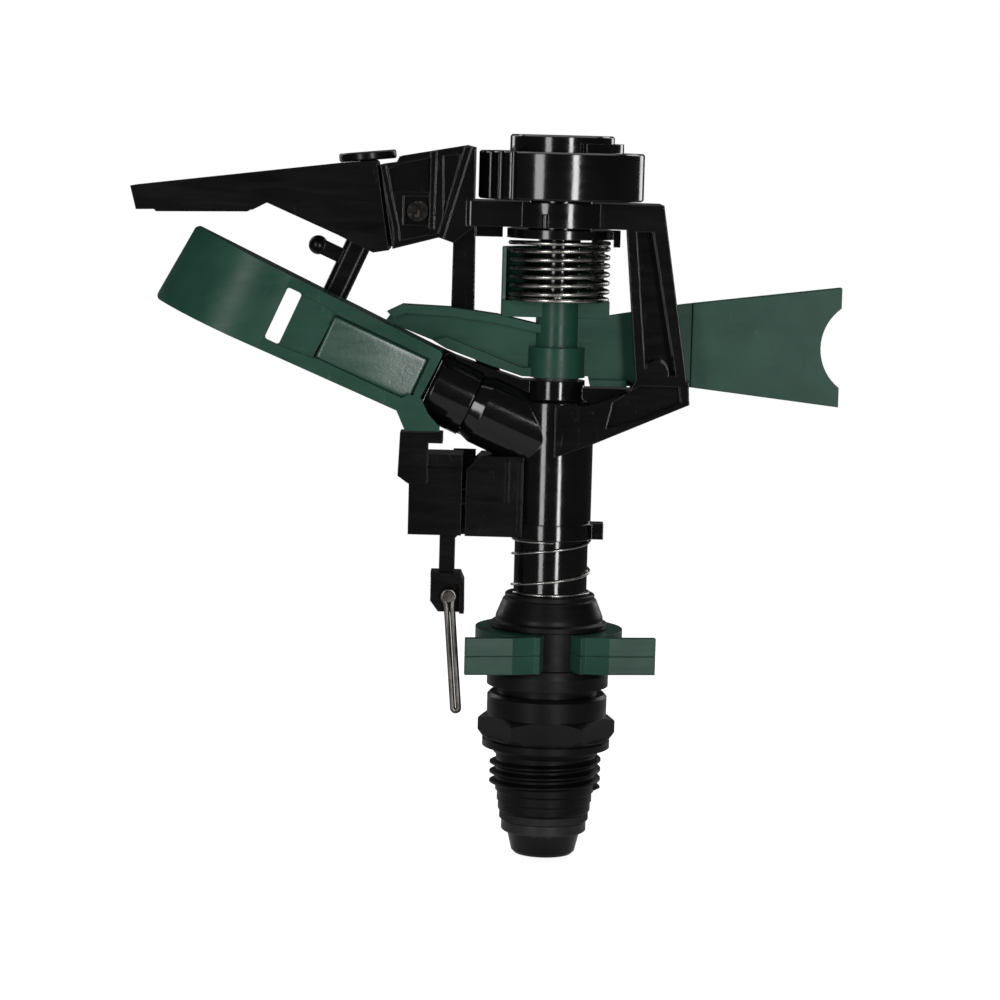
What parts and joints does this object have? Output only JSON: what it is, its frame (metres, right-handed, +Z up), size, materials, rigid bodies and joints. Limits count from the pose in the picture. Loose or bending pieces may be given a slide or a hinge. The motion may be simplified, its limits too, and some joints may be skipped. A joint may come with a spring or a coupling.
{
  "type": "impact sprinkler",
  "caption": "Part-circle impact sprinkler head with a spring-returned hammer arm, jet deflector, trip lever, arc clips and a threaded inlet.",
  "frame": {"origin": "on the turning axis at the top of the inlet thread", "axes": "+Z up along the turning axis, away from the inlet; the jet leaves toward -X and up; the spoon's clear side faces -Y"},
  "size_m": [0.1315, 0.0318, 0.1348],
  "materials": {
    "black_gloss": "glossy black moulded plastic",
    "black_matte": "satin black moulded plastic",
    "green_plastic": "satin dark green moulded plastic",
    "steel": "bright stainless wire and pins",
    "rubber": "matte black rubber",
    "bearing_plastic": "dark low-friction plastic"
  },
  "bodies": {
    "bearing": {"bearing_nipple": "black_matte", "sand_cap": "black_matte", "bearing_spring": "steel", "seal_washer": "rubber", "thrust_washer": "bearing_plastic"},
    "head": {"head_body": "black_gloss", "head_tube": "black_gloss", "tube_end_collar": "black_gloss", "nozzle": "black_gloss", "flow_straightener": "bearing_plastic", "fulcrum_pin": "steel", "trip_housing": "black_matte", "trip_pivot_pin": "steel", "trip_spring": "steel", "flap_pivot_pin": "steel", "arm_washer": "bearing_plastic"},
    "tension": {"tension_ring": "black_gloss", "top_knob": "black_gloss", "spring_anchor": "black_gloss"},
    "arm": {"hammer_arm": "green_plastic", "arm_bushing": "bearing_plastic", "arm_spring": "steel"},
    "flap": {"deflector_flap": "black_matte"},
    "flap_screw": {"flap_knob": "black_matte"},
    "diffuser": {"diffuser_lever": "black_matte"},
    "trip": {"trip_lever": "black_matte", "wire_clevis": "black_matte", "wire_rivet": "steel"},
    "wire": {"trip_wire": "steel"},
    "clip_lower": {"arc_clip_lower": "green_plastic"},
    "clip_upper": {"arc_clip_upper": "green_plastic"}
  },
  "joints": [
    {"name": "head_turn", "type": "hinge", "parent": "bearing", "child": "head", "pos_m": [0, 0, 0], "axis": [0, 0, 1], "continuous": true},
    {"name": "arm_swing", "type": "hinge", "parent": "head", "child": "arm", "pos_m": [0, 0, 0.078], "axis": [0, 0, 1], "range_deg": [0, 110], "stiffness_Nm_per_rad": 0.008, "springref_deg": -34.38},
    {"name": "tension_turn", "type": "hinge", "parent": "head", "child": "tension", "pos_m": [0, 0, 0.108], "axis": [0, 0, 1], "range_deg": [0, 300]},
    {"name": "flap_tilt", "type": "hinge", "parent": "head", "child": "flap", "pos_m": [-0.0263, 0, 0.1011], "axis": [0, 1, 0], "range_deg": [-3, 0]},
    {"name": "flap_screw_turn", "type": "hinge", "parent": "flap", "child": "flap_screw", "pos_m": [-0.0358, 0, 0.10995], "axis": [-0.1028, 0, 0.9947], "range_deg": [0, 360]},
    {"name": "diffuser_turn", "type": "hinge", "parent": "flap", "child": "diffuser", "pos_m": [-0.04458, 0.0052, 0.07855], "axis": [0.4067, 0, 0.9135], "range_deg": [0, 60]},
    {"name": "trip_rock", "type": "hinge", "parent": "head", "child": "trip", "pos_m": [-0.022, 0, 0.048], "axis": [1, 0, 0], "range_deg": [0, 15]},
    {"name": "wire_flip", "type": "hinge", "parent": "trip", "child": "wire", "pos_m": [-0.0189, -0.0022, 0.0294], "axis": [0, 1, 0], "range_deg": [0, 120]},
    {"name": "clip_lower_turn", "type": "hinge", "parent": "bearing", "child": "clip_lower", "pos_m": [0, 0, 0.0186], "axis": [0, 0, 1], "continuous": true},
    {"name": "clip_upper_turn", "type": "hinge", "parent": "bearing", "child": "clip_upper", "pos_m": [0, 0, 0.0221], "axis": [0, 0, 1], "continuous": true}
  ],
  "couplings": [
    {"joint": "flap_tilt", "follows": "flap_screw_turn", "ratio": -0.0083333}
  ]
}
